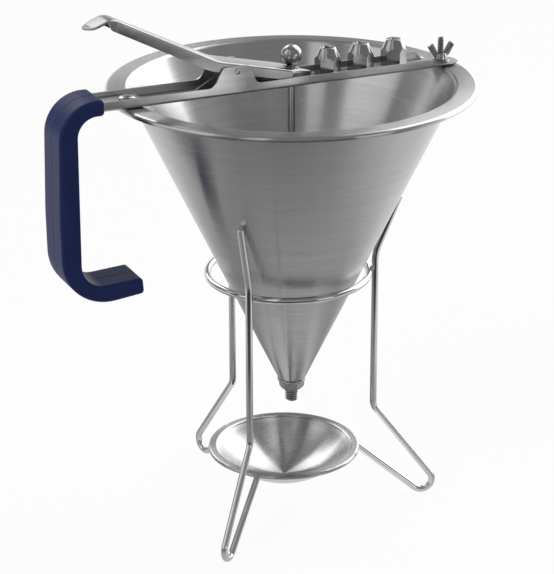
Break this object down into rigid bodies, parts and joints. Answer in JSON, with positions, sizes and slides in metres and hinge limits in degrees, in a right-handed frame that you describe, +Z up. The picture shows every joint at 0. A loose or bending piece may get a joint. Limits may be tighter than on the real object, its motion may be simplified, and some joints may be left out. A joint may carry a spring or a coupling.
{
  "type": "pancake batter dispenser",
  "caption": "Handheld piston funnel for pouring batter, with a thumb lever, a moulded grip and spare nozzles, resting on a wire stand with a drip bowl.",
  "frame": {"origin": "on the table, on the axis of the funnel", "axes": "+Z up along the funnel's axis, +X along the bridge from the handle to the wing nut, +Y away from the viewer's side"},
  "size_m": [0.2503, 0.21, 0.3122],
  "materials": {
    "wire": "bright drawn wire",
    "bowl_steel": "spun and polished",
    "funnel_steel": "brushed round the axis",
    "turned_steel": "turned, bright",
    "sheet_steel": "satin sheet",
    "hardware": "bright",
    "spring_steel": "drawn spring wire",
    "grip": "moulded, satin gloss, dark navy"
  },
  "bodies": {
    "stand": {"leg_front": "wire", "leg_right": "wire", "leg_left": "wire", "support_ring": "wire", "drip_bowl": "bowl_steel"},
    "funnel": {"funnel_cone": "funnel_steel", "outlet_collar": "turned_steel", "bridge_channel": "sheet_steel", "handle_core": "sheet_steel", "handle_grip": "grip", "handle_rivet": "hardware", "clamp_stud": "hardware", "clamp_washer": "hardware", "pivot_pin": "hardware", "return_spring": "spring_steel", "nozzle_post_wide": "turned_steel", "nozzle_post_medium": "turned_steel", "nozzle_post_fine": "turned_steel"},
    "nut": {"wing_nut": "hardware"},
    "lever": {"trigger_lever": "sheet_steel"},
    "piston": {"piston_rod": "turned_steel", "ball_knob": "turned_steel", "valve_plug": "turned_steel"},
    "spare_wide": {"nozzle_wide": "turned_steel"},
    "spare_medium": {"nozzle_medium": "turned_steel"},
    "spare_fine": {"nozzle_fine": "turned_steel"}
  },
  "joints": [
    {"name": "funnel_lift", "type": "slide", "parent": "stand", "child": "funnel", "axis": [0, 0, 1], "range_m": [0, 0.15]},
    {"name": "nut_turn", "type": "hinge", "parent": "funnel", "child": "nut", "pos_m": [0.0958, 0, 0.267], "axis": [0, 0, 1], "continuous": true},
    {"name": "lever_press", "type": "hinge", "parent": "funnel", "child": "lever", "pos_m": [-0.0376, 0, 0.2762], "axis": [0, -1, 0], "range_deg": [0, 20], "stiffness_Nm_per_rad": 0.8, "springref_deg": -20.05, "deforming": ["return_spring"]},
    {"name": "piston_lift", "type": "slide", "parent": "funnel", "child": "piston", "axis": [0, 0, 1], "range_m": [0, 0.0135]},
    {"name": "take_off_wide", "type": "slide", "parent": "funnel", "child": "spare_wide", "axis": [0, 0, 1], "range_m": [0, 0.025]},
    {"name": "take_off_medium", "type": "slide", "parent": "funnel", "child": "spare_medium", "axis": [0, 0, 1], "range_m": [0, 0.025]},
    {"name": "take_off_fine", "type": "slide", "parent": "funnel", "child": "spare_fine", "axis": [0, 0, 1], "range_m": [0, 0.025]}
  ],
  "couplings": [
    {"joint": "piston_lift", "follows": "lever_press", "m_per_rad": 0.0376}
  ]
}
